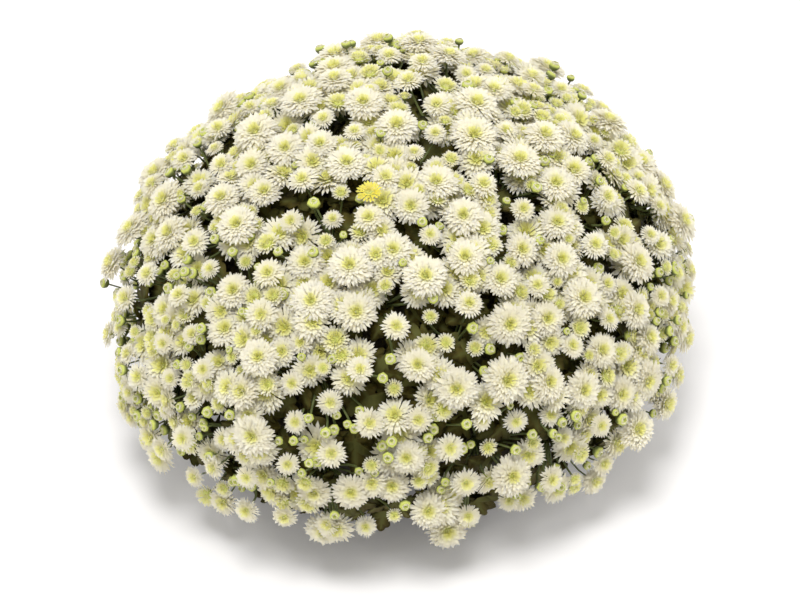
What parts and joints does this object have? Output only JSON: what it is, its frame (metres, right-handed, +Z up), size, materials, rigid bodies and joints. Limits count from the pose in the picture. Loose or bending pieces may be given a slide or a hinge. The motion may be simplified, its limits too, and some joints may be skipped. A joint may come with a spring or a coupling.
{
  "type": "pot chrysanthemum",
  "caption": "Bushy chrysanthemum in a plain plastic pot, a low dome of leaves covered all over with small white double blooms with lime-yellow centres, and with green buds.",
  "frame": {"origin": "on the floor under the middle of the plant, on the pot's axis, at the pot's foot", "axes": "+Z is up; the picture looks along +Y and down at about 40 degrees, so -Y faces the viewer and +X is at the viewer's right"},
  "size_m": [0.5007, 0.5032, 0.323],
  "materials": {
    "petals": "soft matt petals, creamy white with lime-yellow centres",
    "leaves": "matt dark green leaves",
    "woody_stems": "rough, partly woody stems",
    "soil": "crumbly dark peat",
    "pot_plastic": "dark matt moulded plastic"
  },
  "bodies": {
    "root": {"pot": "pot_plastic", "soil": "soil", "woody_base": "woody_stems", "foliage": "leaves", "spray_01": "petals", "spray_02": "petals", "spray_03": "petals", "spray_04": "petals", "spray_05": "petals", "spray_06": "petals", "spray_07": "petals", "spray_08": "petals", "spray_09": "petals", "spray_10": "petals", "spray_11": "petals", "spray_12": "petals", "spray_13": "petals", "spray_14": "petals", "spray_15": "petals", "spray_16": "petals", "spray_17": "petals", "spray_18": "petals", "spray_19": "petals", "spray_20": "petals", "spray_21": "petals", "spray_22": "petals", "spray_23": "petals", "spray_24": "petals", "spray_25": "petals", "spray_26": "petals", "spray_27": "petals", "spray_28": "petals", "spray_29": "petals", "spray_30": "petals", "spray_31": "petals", "spray_32": "petals", "spray_33": "petals", "spray_34": "petals", "spray_35": "petals", "spray_36": "petals", "spray_37": "petals", "spray_38": "petals", "spray_39": "petals", "spray_40": "petals", "spray_41": "petals", "spray_42": "petals", "spray_43": "petals", "spray_44": "petals", "spray_45": "petals", "spray_46": "petals", "spray_47": "petals", "spray_48": "petals", "spray_49": "petals", "spray_50": "petals", "spray_51": "petals", "spray_52": "petals", "spray_53": "petals", "spray_54": "petals"}
  },
  "joints": []
}
